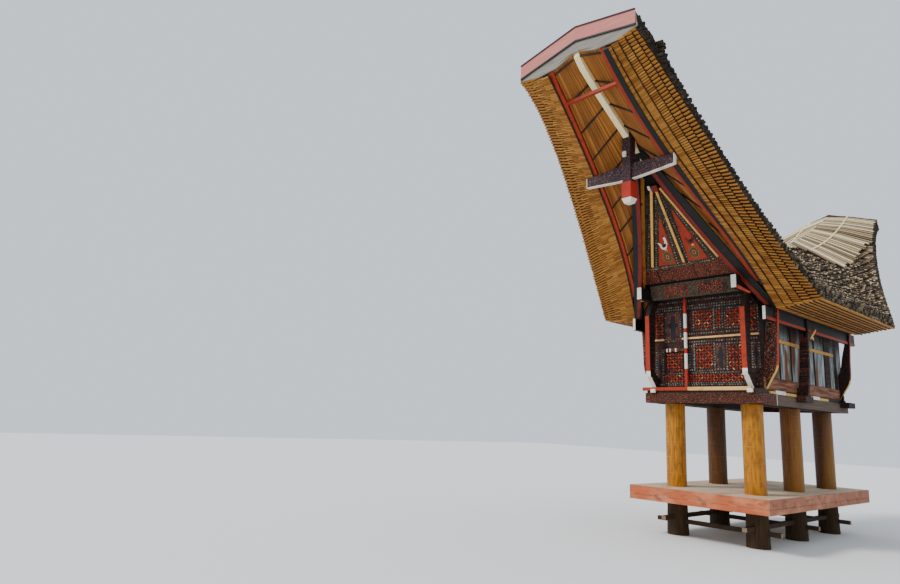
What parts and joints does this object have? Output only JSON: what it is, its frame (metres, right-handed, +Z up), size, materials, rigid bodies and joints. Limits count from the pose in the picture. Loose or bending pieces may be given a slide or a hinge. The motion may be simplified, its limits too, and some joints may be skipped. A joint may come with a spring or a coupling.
{
  "type": "rice barn in the form of a tongkonan house",
  "caption": "Raised rice barn on six palm trunk posts, with a sitting platform, carved walls with a small upper door and a saddle-backed bamboo roof whose two prows sweep up and out.",
  "frame": {"origin": "middle of the bounding box at ground level, on the undersides of the posts", "axes": "+Z up, +Y from the carved gable front towards the rear, +X to the right seen from the front"},
  "size_m": [4.4, 11.5797, 8.59],
  "materials": {
    "palm_trunk": "smooth golden palm trunk with faint rings",
    "dark_timber": "dark weathered timber",
    "carved_timber": "carved timber painted red, black and white",
    "weathered_planks": "grey unpainted planks",
    "deck_planks": "grey worn planks",
    "pink_board": "dull salmon pink paint on boards",
    "red_paint": "dull red paint on timber",
    "cream_wood": "pale peeled pole",
    "bamboo": "split bamboo, dry and matt"
  },
  "bodies": {
    "root": {"cross_tie_front": "dark_timber", "cross_tie_middle": "dark_timber", "cross_tie_rear": "dark_timber", "long_tie_left": "dark_timber", "long_tie_right": "dark_timber", "platform_bearer_left": "dark_timber", "platform_bearer_right": "dark_timber", "post_front_left": "palm_trunk", "post_middle_left": "palm_trunk", "post_rear_left": "palm_trunk", "post_front_right": "palm_trunk", "post_middle_right": "palm_trunk", "post_rear_right": "palm_trunk", "platform_deck": "deck_planks", "platform_skirt_front": "pink_board", "platform_skirt_rear": "pink_board", "platform_skirt_left": "pink_board", "platform_skirt_right": "pink_board", "sill_left": "carved_timber", "sill_right": "carved_timber", "sill_front": "carved_timber", "sill_rear": "carved_timber", "floor_beam_left": "dark_timber", "floor_beam_right": "dark_timber", "floor": "dark_timber", "roof_left": "bamboo", "roof_right": "bamboo", "purlin_left": "dark_timber", "purlin_right": "dark_timber", "eave_plate_left": "dark_timber", "eave_plate_right": "dark_timber", "ridge_beam": "cream_wood", "wall_left": "weathered_planks", "wall_right": "weathered_planks", "wall_front": "carved_timber", "wall_rear": "carved_timber", "upper_door": "carved_timber", "gable_panel_front": "carved_timber", "gable_panel_rear": "carved_timber", "gable_cross_board_front": "carved_timber", "gable_cross_board_rear": "carved_timber", "gable_v_boards_front": "dark_timber", "gable_v_boards_rear": "dark_timber", "prow_rails_front": "red_paint", "prow_rails_rear": "red_paint", "pendant_front": "carved_timber", "pendant_rear": "carved_timber", "fascia_front": "pink_board", "fascia_rear": "pink_board", "side_bracket_front_left": "carved_timber", "side_bracket_middle_left": "carved_timber", "side_bracket_rear_left": "carved_timber", "end_bracket_front_left": "red_paint", "end_bracket_rear_left": "red_paint", "side_bracket_front_right": "carved_timber", "side_bracket_middle_right": "carved_timber", "side_bracket_rear_right": "carved_timber", "end_bracket_front_right": "red_paint", "end_bracket_rear_right": "red_paint", "striped_pole": "red_paint"}
  },
  "joints": []
}
